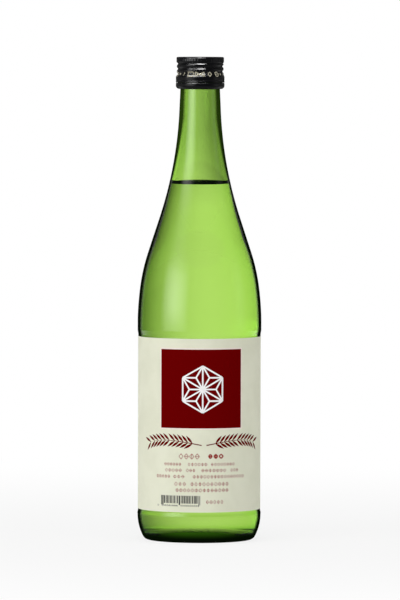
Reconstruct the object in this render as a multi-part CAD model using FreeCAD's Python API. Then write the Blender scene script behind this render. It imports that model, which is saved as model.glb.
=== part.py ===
import FreeCAD, Part
import math
import os

from FreeCAD import Vector

# A full 720 ml sake bottle of green glass, closed with a roll-on aluminium screw cap.
#
# Frame: millimetres, +Z up, origin at the middle of the base, on the surface that it stands on.
# The front, with the paper label, faces -Y. Nearly every piece is turned about the Z axis, so an
# outline is drawn in the XZ plane, where X is the radius.
#
# Pieces:
#   glass_bottle   blown shell with push-up base, recessed label panel, shoulder, neck and finish
#   sake_fill      the liquid, up to its level in the neck, with its meniscus
#   front_label    paper label wrapped round the front of the panel
#   cap_shell      drawn aluminium cap with a knurled top band and a rolled thread zone
#   cap_liner      soft sealing disc between the cap's top and the glass lip
#   tamper_band    ring that stays on the neck, joined to the shell by small bridges

# Glass: whole
glass_height = 298.0
wall_thickness = 2.7

# Glass: body, and the label panel that is set back in it
body_diameter = 76.9
panel_depth = 0.55
lower_band_height = 2.8
upper_band_height = 4.4
panel_step_height = 0.8

# Glass: base and heel, whose top lies a little inside the body
heel_inset = 0.15
heel_radius = 30.0
heel_height = 16.0
bearing_corner_radius = 4.0
bearing_width = 2.4
push_up_height = 4.0
push_up_rim_radius = 3.0
base_thickness = 4.5
floor_corner_radius = 8.0

# Glass: shoulder, two convex arcs, a straight cone and a concave flare into the neck
lower_shoulder_radius = 204.0
lower_shoulder_angle = 6.8
upper_shoulder_radius = 119.0
cone_angle = 18.16
cone_height = 21.3
neck_taper_angle = 2.6
neck_length = 14.7
neck_diameter = 24.3

# Glass: finish, the part of the neck that the cap closes on
finish_diameter = 28.4
thread_depth = 0.8
bead_height = 3.8
bead_depth = 13.2
bead_slope_height = 0.8
lip_round = 0.8
mouth_chamfer = 0.5
bead_corner_radius = 0.86
neck_fillet_radius = 0.94
ledge_round_share = 0.46

# Liquid
headspace = 77.0
liquid_gap = 0.1
meniscus_height = 2.2
meniscus_width = 3.0

# Paper label
label_thickness = 0.15
label_gap = 0.05
label_margin = 0.6
label_wrap_angle = 210.0

# Cap shell
cap_sheet = 0.25
cap_corner_radius = 0.8
thread_fit = 0.05
shell_height = 15.7
knurl_band_height = 3.5
knurl_band_step = 0.25
knurl_count = 48
knurl_depth = 0.14
knurl_width = 0.8
knurl_margin = 0.2
band_blend_height = 0.4
skirt_height = 3.1
skirt_flare = 0.6
skirt_blend_height = 2.0

# Cap liner
liner_thickness = 1.75
liner_gap = 0.1

# Tamper band and its bridges
slit_height = 0.3
bridge_count = 8
bridge_width = 1.0
tuck_corner_radius = 2.1
tuck_corner_share = 0.9
tuck_gap = 0.55
tuck_neck_gap = 0.5

# Small rounds, the base and the cavity are drawn as chords of their arcs, because a surface that
# curves both ways takes many times the facets. A chord turns by no more than this, in degrees.
gentle_turn_limit = 7.5
sharp_turn_limit = 45.0

# How far a cutting solid runs past the faces that it cuts
overrun = 2.0

AXIS_FOOT = Vector(0, 0, 0)
AXIS = Vector(0, 0, 1)
FRONT_ANGLE = -90.0


def point(r, z):
    """A point of an outline, at radius r and height z."""
    return Vector(r, 0, z)


def along_circle(centre, radius, angle):
    """The point of a circle at an angle in degrees, from outwards, up positive."""
    turned = math.radians(angle)
    return centre + point(radius * math.cos(turned), radius * math.sin(turned))


def arc(centre, radius, start_angle, end_angle):
    """The arc about a centre between two angles, as one edge."""
    angles = (start_angle, (start_angle + end_angle) / 2, end_angle)
    return [Part.Arc(*[along_circle(centre, radius, angle) for angle in angles]).toShape()]


def chords(centre, radius, start_angle, end_angle, turn_limit=gentle_turn_limit):
    """The same arc as a chain of equal chords."""
    turn = end_angle - start_angle
    count = math.ceil(abs(turn) / turn_limit)
    places = [along_circle(centre, radius, start_angle + turn * step / count) for step in range(count + 1)]
    return straight_edges(places)


def straight_edges(places):
    """Straight edges from each place to the next."""
    return [Part.makeLine(here, there) for here, there in zip(places, places[1:])]


def angle_to(centre, place):
    """The direction of a place from a centre, in degrees from outwards, up positive."""
    return math.degrees(math.atan2(place.z - centre.z, place.x - centre.x))


def rounded_edges(corners):
    """Edges through corners (point, rounding radius), each corner rounded by tangent chords.

    The first and last corners are ends, and stay sharp.
    """
    edges = []
    pen = corners[0][0]
    for (before, _), (corner, radius), (after, _) in zip(corners, corners[1:], corners[2:]):
        if radius > 0:
            back = (before - corner).normalize()
            ahead = (after - corner).normalize()
            half_angle = back.getAngle(ahead) / 2
            reach = radius / math.tan(half_angle)
            centre = corner + (back + ahead).normalize() * (radius / math.sin(half_angle))
            start_angle = angle_to(centre, corner + back * reach)
            turn = (angle_to(centre, corner + ahead * reach) - start_angle + 180) % 360 - 180
            rounding = chords(centre, radius, start_angle, start_angle + turn, sharp_turn_limit)
            edges.append(Part.makeLine(pen, start_of(rounding)))
            edges.extend(rounding)
            pen = end_of(rounding)
        else:
            edges.append(Part.makeLine(pen, corner))
            pen = corner
    edges.append(Part.makeLine(pen, corners[-1][0]))
    return edges


def start_of(edges):
    """The point where a chain of edges starts."""
    return edges[0].valueAt(edges[0].FirstParameter)


def end_of(edges):
    """The point where a chain of edges ends."""
    return edges[-1].valueAt(edges[-1].LastParameter)


def turned_solid(edges, angle=360.0):
    """The solid that an open chain of edges sweeps about the Z axis, once a line closes it."""
    closing = Part.makeLine(end_of(edges), start_of(edges))
    return Part.Face(Part.Wire(edges + [closing])).revolve(AXIS_FOOT, AXIS, angle)


def turned_box(inner, outer, bottom, top, angle):
    """The part of a ring of rectangular section within an angle that is centred on the front."""
    corners = [point(inner, bottom), point(outer, bottom), point(outer, top), point(inner, top)]
    ring = turned_solid(straight_edges(corners), angle)
    ring.rotate(AXIS_FOOT, AXIS, FRONT_ANGLE - angle / 2)
    return ring


def spread_round(shape, count):
    """Copies of a shape, evenly spaced about the Z axis."""
    copies = []
    for number in range(count):
        copy = shape.copy()
        copy.rotate(AXIS_FOOT, AXIS, number * 360.0 / count)
        copies.append(copy)
    return copies


def place_by_distances(centre_a, distance_a, centre_b, distance_b):
    """The point at given distances from two centres, on the right of the way from a to b."""
    way = centre_b - centre_a
    apart = way.Length
    along = (apart ** 2 + distance_a ** 2 - distance_b ** 2) / (2 * apart)
    aside = math.sqrt(distance_a ** 2 - along ** 2)
    unit = way.normalize()
    return centre_a + unit * along + point(unit.z, -unit.x) * aside


# Places on the glass, worked out from the lip down

body_radius = body_diameter / 2
panel_radius = body_radius - panel_depth
heel_top_radius = body_radius - heel_inset
neck_radius = neck_diameter / 2
finish_radius = finish_diameter / 2
land_radius = finish_radius - thread_depth
bore_radius = neck_radius - wall_thickness * math.cos(math.radians(neck_taper_angle))

bead_top = glass_height - bead_depth
bead_bottom = bead_top - bead_height
neck_foot = bead_bottom - neck_length
neck_foot_radius = neck_radius + neck_length * math.tan(math.radians(neck_taper_angle))

lower_cos = math.cos(math.radians(lower_shoulder_angle))
lower_sin = math.sin(math.radians(lower_shoulder_angle))
cone_cos = math.cos(math.radians(cone_angle))
cone_sin = math.sin(math.radians(cone_angle))
taper_cos = math.cos(math.radians(neck_taper_angle))
taper_sin = math.sin(math.radians(neck_taper_angle))

# The flare takes up the radius that the convex arcs and the cone leave between body and neck.
arcs_drop = lower_shoulder_radius * (1 - lower_cos) + upper_shoulder_radius * (lower_cos - cone_cos)
cone_drop = cone_height * cone_sin / cone_cos
flare_drop = body_radius - arcs_drop - cone_drop - neck_foot_radius
flare_radius = flare_drop / (taper_cos - cone_cos)
flare_foot = neck_foot - flare_radius * (cone_sin - taper_sin)
cone_foot = flare_foot - cone_height
upper_foot = cone_foot - upper_shoulder_radius * (cone_sin - lower_sin)
shoulder_foot = upper_foot - lower_shoulder_radius * lower_sin

lower_centre = point(body_radius - lower_shoulder_radius, shoulder_foot)
upper_centre = lower_centre + point(
    (lower_shoulder_radius - upper_shoulder_radius) * lower_cos,
    (lower_shoulder_radius - upper_shoulder_radius) * lower_sin,
)
flare_centre = point(neck_foot_radius + flare_radius * taper_cos, neck_foot + flare_radius * taper_sin)

panel_bottom = heel_height + lower_band_height
panel_top = shoulder_foot - upper_band_height

# Heel and base: the corner arc touches the heel arc and the surface that the bottle stands on.
heel_centre = point(heel_top_radius - heel_radius, heel_height)
corner_drop = heel_height - bearing_corner_radius
corner_reach = math.sqrt((heel_radius - bearing_corner_radius) ** 2 - corner_drop ** 2)
corner_centre = point(heel_centre.x + corner_reach, bearing_corner_radius)
bearing_inner = corner_centre.x - bearing_width
push_up_angle = 2 * math.degrees(math.atan(push_up_height / bearing_inner))
push_up_radius = bearing_inner / math.sin(math.radians(push_up_angle)) - push_up_rim_radius
push_up_centre = point(0, push_up_height - push_up_radius)
floor_radius = push_up_radius + base_thickness

# Places on the closure
cap_top = glass_height + liner_thickness + cap_sheet
thread_zone_radius = finish_radius + thread_fit + cap_sheet
knurl_band_radius = thread_zone_radius + knurl_band_step
skirt_radius = thread_zone_radius + skirt_flare
shell_edge = cap_top - shell_height
band_top = shell_edge - slit_height
band_bottom = bead_bottom - tuck_gap - cap_sheet


def shoulder_edges(inset, curve):
    """Shoulder and neck up to the bead, moved inwards square to the surface.

    The curve function draws an arc, either as one edge or as chords.
    """
    lower = curve(lower_centre, lower_shoulder_radius - inset, 0, lower_shoulder_angle)
    upper = curve(upper_centre, upper_shoulder_radius - inset, lower_shoulder_angle, cone_angle)
    flare = curve(flare_centre, flare_radius + inset, cone_angle - 180, neck_taper_angle - 180)
    neck_end = point(neck_radius - inset * taper_cos, bead_bottom - inset * taper_sin)
    cone = Part.makeLine(end_of(upper), start_of(flare))
    neck = Part.makeLine(end_of(flare), neck_end)
    return lower + upper + [cone] + flare + [neck]


def make_glass_blank():
    """The bottle's outside, as a solid. The heel and the shoulder are true arcs."""
    corner_angle = angle_to(heel_centre, corner_centre)
    rim_centre = point(bearing_inner, push_up_rim_radius)
    base = (
        chords(push_up_centre, push_up_radius, 90, 90 - push_up_angle)
        + chords(rim_centre, push_up_rim_radius, -90 - push_up_angle, -90, sharp_turn_limit)
        + straight_edges([point(bearing_inner, 0), point(corner_centre.x, 0)])
        + chords(corner_centre, bearing_corner_radius, -90, corner_angle, sharp_turn_limit)
        + arc(heel_centre, heel_radius, corner_angle, 0)
    )
    panel = straight_edges([
        point(heel_top_radius, heel_height),
        point(heel_top_radius, panel_bottom - panel_step_height),
        point(panel_radius, panel_bottom),
        point(panel_radius, panel_top),
        point(body_radius, panel_top + panel_step_height),
        point(body_radius, shoulder_foot),
    ])
    shoulder = shoulder_edges(0, arc)
    round_limit = (finish_radius - neck_radius) * ledge_round_share
    finish = rounded_edges([
        (start_of(shoulder[-1:]), 0),
        (point(neck_radius, bead_bottom), min(neck_fillet_radius, round_limit)),
        (point(finish_radius, bead_bottom), min(bead_corner_radius, round_limit)),
        (point(finish_radius, bead_top - bead_slope_height), 0),
        (point(land_radius, bead_top), 0),
        (point(land_radius, glass_height), lip_round),
        (point(0, glass_height), 0),
    ])
    return turned_solid(base + panel + shoulder[:-1] + finish)


def make_cavity(gap):
    """The space inside the glass, made smaller all round by a gap."""
    inset = wall_thickness + gap
    corner = place_by_distances(
        push_up_centre, floor_radius + floor_corner_radius,
        heel_centre, heel_radius - wall_thickness - floor_corner_radius,
    )
    floor_angle = angle_to(push_up_centre, corner)
    wall_angle = angle_to(heel_centre, corner)
    floor = (
        chords(push_up_centre, floor_radius + gap, 90, floor_angle)
        + chords(corner, floor_corner_radius - gap, floor_angle - 180, wall_angle, sharp_turn_limit)
        + chords(heel_centre, heel_radius - inset, wall_angle, 0)
    )
    shoulder = shoulder_edges(inset, chords)
    body = straight_edges([
        end_of(floor),
        point(heel_top_radius - inset, panel_bottom),
        point(panel_radius - inset, panel_bottom + panel_step_height),
        point(panel_radius - inset, panel_top),
        start_of(shoulder),
    ])
    mouth = straight_edges([
        end_of(shoulder),
        point(bore_radius - gap, glass_height - mouth_chamfer),
        point(bore_radius - gap + mouth_chamfer, glass_height),
        point(bore_radius - gap + mouth_chamfer, glass_height + overrun),
        point(0, glass_height + overrun),
    ])
    return turned_solid(floor + body + shoulder + mouth)


def make_glass_bottle():
    """The blown bottle: its outside with the cavity taken out."""
    return make_glass_blank().cut(make_cavity(0))


def make_sake_fill():
    """The cavity up to the liquid's level, where its surface curves up to meet the glass."""
    cavity = make_cavity(liquid_gap)
    level = glass_height - headspace
    contact = level + meniscus_height
    wall_radius = cavity.slice(AXIS, contact)[0].BoundBox.XMax
    flat_radius = wall_radius - meniscus_width
    bend_radius = (meniscus_width ** 2 + meniscus_height ** 2) / (2 * meniscus_height)
    rise_angle = math.degrees(math.asin(meniscus_width / bend_radius))
    bend_centre = point(flat_radius, level + bend_radius)
    surface = chords(bend_centre, bend_radius, -90, rise_angle - 90, sharp_turn_limit)
    flat = straight_edges([point(0, level), point(flat_radius, level)])
    above_cavity = glass_height + 2 * overrun
    above = straight_edges([
        point(wall_radius, contact),
        point(body_radius, contact),
        point(body_radius, above_cavity),
        point(0, above_cavity),
    ])
    air = turned_solid(flat + surface + above)
    return cavity.cut(air)


def make_front_label():
    """A thin sheet curved round the front of the label panel."""
    inner = panel_radius + label_gap
    outer = inner + label_thickness
    return turned_box(inner, outer, panel_bottom + label_margin, panel_top - label_margin, label_wrap_angle)


def shell_edges(inset):
    """The cap's side and top, from its lower edge to the axis, moved inwards by an inset."""
    knurl_foot = cap_top - knurl_band_height
    skirt_top = shell_edge + skirt_height
    return rounded_edges([
        (point(skirt_radius - inset, shell_edge), 0),
        (point(skirt_radius - inset, skirt_top), 0),
        (point(thread_zone_radius - inset, skirt_top + skirt_blend_height), 0),
        (point(thread_zone_radius - inset, knurl_foot - band_blend_height), 0),
        (point(knurl_band_radius - inset, knurl_foot), 0),
        (point(knurl_band_radius - inset, cap_top - inset), cap_corner_radius - inset),
        (point(0, cap_top - inset), 0),
    ])


def make_cap_shell():
    """The drawn cap, with the V flutes of its knurled band cut by one polar pattern."""
    outside = turned_solid(shell_edges(0) + straight_edges([point(0, cap_top), point(0, shell_edge)]))
    inside_foot = shell_edge - overrun
    inside = turned_solid(shell_edges(cap_sheet) + straight_edges([
        point(0, cap_top - cap_sheet),
        point(0, inside_foot),
        point(skirt_radius - cap_sheet, inside_foot),
    ]))
    flute_foot = cap_top - knurl_band_height + knurl_margin
    flute_height = knurl_band_height - cap_corner_radius - 2 * knurl_margin
    root = Vector(knurl_band_radius - knurl_depth, 0, flute_foot)
    reach = Vector(2 * knurl_depth, knurl_width, 0)
    mirrored_reach = Vector(2 * knurl_depth, -knurl_width, 0)
    section = Part.makePolygon([root, root + reach, root + mirrored_reach, root])
    flute = Part.Face(section).extrude(AXIS * flute_height)
    return outside.cut(inside).cut(Part.makeCompound(spread_round(flute, knurl_count)))


def make_cap_liner():
    """The sealing disc, flat between the glass lip and the cap's top."""
    radius = knurl_band_radius - cap_corner_radius - liner_gap
    return Part.makeCylinder(radius, liner_thickness, point(0, glass_height), AXIS)


def make_tamper_band():
    """The ring tucked under the bead, and the bridges that join it to the shell above."""
    inner = skirt_radius - cap_sheet
    tip = neck_radius + tuck_neck_gap
    tuck_round = min(tuck_corner_radius, (skirt_radius - tip) * tuck_corner_share)
    ring = turned_solid(rounded_edges([
        (point(inner, band_top), 0),
        (point(inner, band_bottom + cap_sheet), tuck_round - cap_sheet),
        (point(tip, band_bottom + cap_sheet), 0),
        (point(tip, band_bottom), 0),
        (point(skirt_radius, band_bottom), tuck_round),
        (point(skirt_radius, band_top), 0),
    ]))
    bridge_angle = math.degrees(bridge_width / skirt_radius)
    bridge = turned_box(inner, skirt_radius, band_top, shell_edge, bridge_angle)
    return ring.fuse(spread_round(bridge, bridge_count))


def main():
    os.makedirs("parts", exist_ok=True)
    pieces = {
        "glass_bottle": make_glass_bottle(),
        "sake_fill": make_sake_fill(),
        "front_label": make_front_label(),
        "cap_shell": make_cap_shell(),
        "cap_liner": make_cap_liner(),
        "tamper_band": make_tamper_band(),
    }
    for name, shape in pieces.items():
        box = shape.optimalBoundingBox()
        print(f"{name}: {len(shape.Solids)} solid, valid {shape.isValid()}, {shape.Volume:.1f} mm3, "
              f"x {box.XMin:.2f} to {box.XMax:.2f}, z {box.ZMin:.2f} to {box.ZMax:.2f}")
        shape.exportStep(f"parts/{name}.step")


main()
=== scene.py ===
import math

import bpy
import numpy as np
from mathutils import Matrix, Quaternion, Vector


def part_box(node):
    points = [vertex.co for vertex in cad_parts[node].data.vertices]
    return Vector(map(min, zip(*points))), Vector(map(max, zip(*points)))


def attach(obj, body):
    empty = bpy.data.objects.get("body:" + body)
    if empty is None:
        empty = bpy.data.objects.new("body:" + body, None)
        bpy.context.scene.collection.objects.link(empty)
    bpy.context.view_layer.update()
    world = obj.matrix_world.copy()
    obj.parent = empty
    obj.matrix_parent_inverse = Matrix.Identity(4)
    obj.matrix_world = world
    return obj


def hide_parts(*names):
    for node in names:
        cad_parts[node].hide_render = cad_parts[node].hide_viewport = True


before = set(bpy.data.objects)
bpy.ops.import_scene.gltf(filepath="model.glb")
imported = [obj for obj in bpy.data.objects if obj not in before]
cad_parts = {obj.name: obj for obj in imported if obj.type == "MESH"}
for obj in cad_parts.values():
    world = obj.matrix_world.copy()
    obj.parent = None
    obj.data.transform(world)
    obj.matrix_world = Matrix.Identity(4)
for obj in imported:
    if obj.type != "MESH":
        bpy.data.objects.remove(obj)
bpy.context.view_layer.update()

# A full 720 ml sake bottle of green glass with a black screw cap, on a pale floor in soft light.
#
# Shapes are worked out in millimetres, as (radius, height) outlines that are turned about the
# bottle's axis, or as strips laid on a turned surface. They become metres when a mesh is made.
# The front of the label faces -Y. Angles are in degrees, from +X towards +Y, seen from above.

MM = 0.001
FRONT_ANGLE = -90.0
FULL_TURN = 360.0


def corners_mm(node):
    """The lowest and highest corner of a CAD node, in millimetres."""
    low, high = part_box(node)
    return low / MM, high / MM


# Sizes from the frame. All sizes are millimetres, and steps are the longest edges of a mesh.
glass_high = corners_mm("glass_bottle")[1]
sake_high = corners_mm("sake_fill")[1]
label_low, label_high = corners_mm("front_label")
shell_low, shell_high = corners_mm("cap_shell")
band_low = corners_mm("tamper_band")[0]
liner_low, liner_high = corners_mm("cap_liner")

# Glass: the same outline as the solid, with its small arcs smooth
wall = 2.7
body_radius = glass_high.x
glass_height = glass_high.z
panel_depth = 0.55
lower_band_height = 2.8
upper_band_height = 4.4
lower_step_height = 2.4
upper_step_height = 4.0
heel_inset = 0.15
heel_radius = 30.0
heel_height = 16.0
bearing_corner_radius = 4.0
bearing_width = 2.4
push_up_height = 4.0
push_up_rim_radius = 3.0
base_thickness = 4.5
floor_corner_radius = 8.0
lower_shoulder_radius = 204.0
lower_shoulder_angle = 6.8
upper_shoulder_radius = 119.0
cone_angle = 18.16
cone_height = 21.3
neck_taper_angle = 2.6
neck_length = 14.7
neck_radius = 12.15
finish_radius = 14.2
land_radius = 13.4
bead_height = 3.8
bead_depth = 13.2
bead_slope_height = 0.8
lip_round = 0.8
mouth_round = 0.5
bead_corner_radius = 0.86
neck_fillet_radius = 0.94
finish_round = 0.3
finish_lead = 6.0
finish_lead_spread = 0.3
land_tolerance = 0.05
glass_step = 3.0
glass_columns = 224
finish_step = 0.26

# Glass: what the mould leaves, and the unevenness of a blown wall. A wave has its share of the
# height, its numbers of turns round the bottle and up it, and its phase.
seam_count = 2
seam_height = 0.1
seam_width = 0.5
wave_height = 0.02
wave_fade = 20.0
waves = [(1.0, 2, 3, 0), (0.6, 3, -5, 1), (0.4, 5, 8, 2)]

# Thread, a right-hand one. Turns are counted from the front and grow upwards.
thread_pitch = 3.175
groove_front_height = 293.4
groove_turns = (-1.3, 0.92)
groove_depth = 0.72
groove_half_width = 1.25
ridge_height = 0.78
ridge_half_width = 1.0
ridge_turns = (-1.35, 0.55)
thread_fade_turns = 0.12

# Sake: it reaches a little into the wall, so that no air shows between the two
sake_overlap = 0.12
sake_level = 221.0
meniscus_height = sake_high.z - sake_level
meniscus_width = 3.0
meniscus_step = 0.25

# Cap
sheet = 0.25
cap_corner_radius = 0.8
thread_zone_radius = 14.5
knurl_band_height = 3.5
knurl_band_step = 0.25
knurl_count = 48
knurl_depth = 0.14
knurl_margin = 0.2
knurl_fade = 0.3
knurl_band_edge = 0.4
band_groove_share = 0.45
band_groove_below = 0.35
band_groove_half_width = 0.75
skirt_height = 3.1
skirt_blend_height = 2.0
cap_step = 0.16
cover_step = 1.5
cap_columns = 384
top_recess_depth = 0.12
top_recess_radius = 11.5
top_recess_round = 0.3
crease_height = 1.1
crease_depth = 0.14
crease_half_width = 0.35
liner_bulge = 0.12
liner_bulge_ends = (-0.4, 0.1)
liner_bulge_round = 0.5
liner_round = 0.25
liner_step = 0.8
liner_columns = 192

# Print on the cap. A figure has its angle from the front, the width of its strokes, their step,
# and the strokes from (along, up) to (along, up), from its middle.
print_height = 5.2
print_clearance = 0.03
cap_figures = [
    (-44.6, 0.50, 0.4, [((-0.35, -0.9), (0.45, 1.1))]),
    (-24.6, 0.52, 0.4, [((-1.9, -1.3), (1.9, -1.3)), ((1.9, -1.3), (1.9, 1.3)),
                        ((1.9, 1.3), (-1.9, 1.3)), ((-1.9, 1.3), (-1.9, -1.3))]),
    (-1.2, 0.60, 0.4, [((-2.9, -1.3), (-2.9, 1.3)), ((2.9, -1.3), (2.9, 1.3))]),
    (-1.2, 0.55, 0.4, [((-2.9, 1.3), (0, 0)), ((-2.9, -1.3), (0, 0)), ((2.9, 1.3), (0, 0)),
                       ((2.9, -1.3), (0, 0)), ((-1.9, 0), (1.9, 0))]),
    (24.5, 0.50, 0.4, [((1.35, 0), (0, 1.4445)), ((0, 1.3), (-1.209, 0)),
                       ((-1.35, 0), (0, -1.4445)), ((0, -1.3), (1.209, 0))]),
    (45.0, 0.40, 0.3, [((-0.8, 0), (0.8, 0))]),
    (59.0, 0.90, 0.3, [((0, -0.6), (0, 0.6))]),
]
cap_ring_angle = 45.0
cap_ring_radius = 1.35
cap_ring_half_width = 0.26

# Tamper band
bridge_count = 8
bridge_width = 1.0
bridge_fillet = 0.24
tuck_radius = 12.65
tuck_round = 2.1
ring_edge_round = 2.4
ring_edge_turn = 24.0
slit_height = 0.3
ring_step = 0.4

# Label and its print. Print is placed by arc length from the front, and by height.
label_thickness = 0.15
label_radius = label_high.x
label_columns = 211
ink_thickness = 0.015
square_width = 53.4
square_bottom = 71.4
square_top = 120.1
square_offset = 1.4
square_border = 0.7
star_radius = 14.4
star_height = 95.5
star_stroke = 1.0
star_offset = 2.1
ear_offset = 3.0
ear_gap = 1.5
ear_length = 36.5
ear_foot = 60.9
ear_rise = 7.0
ear_droop = 6.0
ear_rows = 40
ear_stem_width = 0.6
ear_grain_count = 11
ear_grain_length = 6.3
ear_grain_width = 1.5
ear_grain_lean = 40.0
ear_first_grain = 6
ear_grain_rows = 32
short_step = 5.0

# Rows of small print: bottom, top, stroke width, and the runs' ends from the front
small_rows = [
    (52.2, 55.9, 0.34, [(-13.1, 0.5)]),
    (52.4, 55.8, 0.80, [(5.2, 15.6)]),
    (48.1, 50.2, 0.24, [(-22.9, -11.1), (-7.3, 5.2), (7.1, 23.5)]),
    (44.3, 46.5, 0.24, [(-22.4, -10.7), (-8.3, -2.2), (1.1, 17.4), (20.1, 26.2)]),
    (40.4, 42.6, 0.24, [(-29.0, -18.5), (-16.7, -8.9), (-4.1, 30.9)]),
    (35.7, 38.2, 0.26, [(-16.0, -7.9), (-5.6, 19.1)]),
    (31.9, 34.3, 0.28, [(-15.1, 19.1)]),
    (24.6, 27.1, 0.24, [(4.0, 15.6)]),
]
lozenge_pitch_share = 1.02
lozenge_width_share = (0.30, 0.42)
lozenge_filled_share = 0.6
lozenge_inside_share = 0.7

# Bars: their bottom, top, left and right, their widths and gaps, and the row of figures below
bar_box = (24.9, 29.7, -25.2, 0.6)
bar_widths = [0.35, 0.35, 0.6, 0.85]
bar_gaps = [0.3, 0.3, 0.5]
bar_reach = 1.0
bar_figures = (22.9, 24.1, 0.18, [(-28.2, -26.9), (-24.9, -13.4), (-11.8, 0.2)])

# Camera, in metres and degrees: it stands where the photograph's did
camera_distance = 4.2
camera_height = 0.345
camera_aim = Vector((0.00025, 0.0, 0.14897))
camera_lens = 405.7
camera_roll = 0.156


# Outlines

def direction(angle):
    """The unit vector at an angle in degrees, in an outline's plane."""
    return np.array([math.cos(math.radians(angle)), math.sin(math.radians(angle))])


def angle_of(vector):
    """The angle of a vector in an outline's plane, in degrees."""
    return math.degrees(math.atan2(vector[1], vector[0]))


def arc(centre, radius, start, end, step=0.4):
    """Points of a circle's arc: centre + radius * (cos a, sin a) for evenly spaced angles a."""
    count = max(4, math.ceil(abs(math.radians(end - start)) * radius / step))
    angles = np.radians(np.linspace(start, end, count + 1))
    return np.asarray(centre) + radius * np.column_stack([np.cos(angles), np.sin(angles)])


def chain(*parts):
    """Parts of an outline end to end, without repeated points."""
    points = np.vstack([np.atleast_2d(part) for part in parts])
    apart = np.linalg.norm(np.diff(points, axis=0), axis=1) > 1e-5
    return points[np.concatenate([[True], apart])]


def resampled(points, step):
    """The same outline with its long runs divided evenly, so that none is longer than a step."""
    spans = np.linalg.norm(np.diff(points, axis=0), axis=1)
    counts = np.maximum(1, np.ceil(spans / step)).astype(int)
    pieces = [np.linspace(start, end, count, endpoint=False)
              for start, end, count in zip(points, points[1:], counts)]
    return np.vstack(pieces + [points[-1:]])


def rounded(corners, step=0.12):
    """An outline through corners (radius, height, rounding), each corner a tangent arc.

    The arc's centre lies on the corner's bisector, at rounding / sin(half the corner's angle).
    """
    places = [np.array(corner[:2], float) for corner in corners]
    points = [places[0]]
    for before, here, after, corner in zip(places, places[1:], places[2:], corners[1:]):
        rounding = corner[2]
        if rounding == 0:
            points.append(here)
            continue
        back = (before - here) / np.linalg.norm(before - here)
        ahead = (after - here) / np.linalg.norm(after - here)
        half = math.acos(np.clip(back @ ahead, -1, 1)) / 2
        middle = (back + ahead) / np.linalg.norm(back + ahead)
        centre = here + middle * rounding / math.sin(half)
        reach = rounding / math.tan(half)
        start = angle_of(here + back * reach - centre)
        end = angle_of(here + ahead * reach - centre)
        turn = (end - start + FULL_TURN / 2) % FULL_TURN - FULL_TURN / 2
        points.extend(arc(centre, rounding, start, start + turn, step))
    return chain(*points, places[-1])


def smooth_step(value):
    """0 below 0, 1 above 1, and 3 v^2 - 2 v^3 between them."""
    v = np.clip(value, 0, 1)
    return v * v * (3 - 2 * v)


def bump(distance):
    """A rounded ridge, cos^2 of a quarter turn: 1 where the distance is 0, and 0 from 1 on."""
    return np.cos(np.clip(np.abs(distance), 0, 1) * math.pi / 2) ** 2


def helix_ridge(angle, height, front_height, turns, half_width):
    """How far a point is up a helical ridge, from 0 to 1.

    The ridge's height at a number of turns t from the front is front_height + pitch * t. The
    nearest turn at the point's angle is found by rounding, and the ends fade out.
    """
    turn = (angle - FRONT_ANGLE) / FULL_TURN
    number = np.round((height - front_height) / thread_pitch - turn)
    along = np.clip(number + turn, *turns)
    fade = smooth_step(1 - np.abs(number + turn - along) / thread_fade_turns)
    return bump((height - front_height - thread_pitch * (number + turn)) / half_width) * fade


def from_nearest(angle, count, radius):
    """Arc length from an angle to the nearest of a count of evenly spaced ones, one being 0."""
    spacing = FULL_TURN / count
    return np.abs((angle + spacing / 2) % spacing - spacing / 2) * math.radians(1) * radius


# Meshes

def add_to_scene(name, data):
    """A new object with the given data, in the scene."""
    made = bpy.data.objects.new(name, data)
    bpy.context.scene.collection.objects.link(made)
    return made


def mesh_object(name, vertices, faces, material):
    """An object in the scene, from vertices in metres."""
    mesh = bpy.data.meshes.new(name)
    mesh.from_pydata(vertices.tolist(), [], faces)
    mesh.materials.append(material)
    return add_to_scene(name, mesh)


def piece_from(name, shape, material, body, replaced=None, sharp=35.0):
    """A smooth-shaded piece that rides on a body of the frame.

    The shape is vertices, in millimetres, and faces. Edges over the sharp angle stay sharp.
    """
    vertices, faces = shape
    piece = mesh_object(name, vertices * MM, faces, material)
    piece.data.validate()
    piece.data.polygons.foreach_set("use_smooth", [True] * len(piece.data.polygons))
    piece.data.set_sharp_from_angle(angle=math.radians(sharp))
    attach(piece, body)
    if replaced:
        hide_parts(replaced)
    return piece


def grid_faces(ids, close_columns=True):
    """Quads of a grid of vertex numbers. Closed columns join the last one to the first."""
    right = np.roll(ids, -1, axis=1) if close_columns else ids[:, 1:]
    left = ids if close_columns else ids[:, :-1]
    corners = [left[:-1], right[:-1], right[1:], left[1:]]
    return np.stack(corners, axis=-1).reshape(-1, 4).tolist()


def fan_faces(centre, ring):
    """Triangles between a centre vertex and a closed ring of vertex numbers."""
    return [[centre, a, b] for a, b in zip(ring, np.roll(ring, -1))]


def column_angles(columns):
    """The angles of evenly spaced columns once round, from 0."""
    return np.arange(columns) * FULL_TURN / columns


def turned(angle, radius, height):
    """The points (radius cos a, radius sin a, height), along a new last axis."""
    angle = np.radians(angle)
    parts = np.broadcast_arrays(radius * np.cos(angle), radius * np.sin(angle), height)
    return np.stack(parts, axis=-1)


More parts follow.
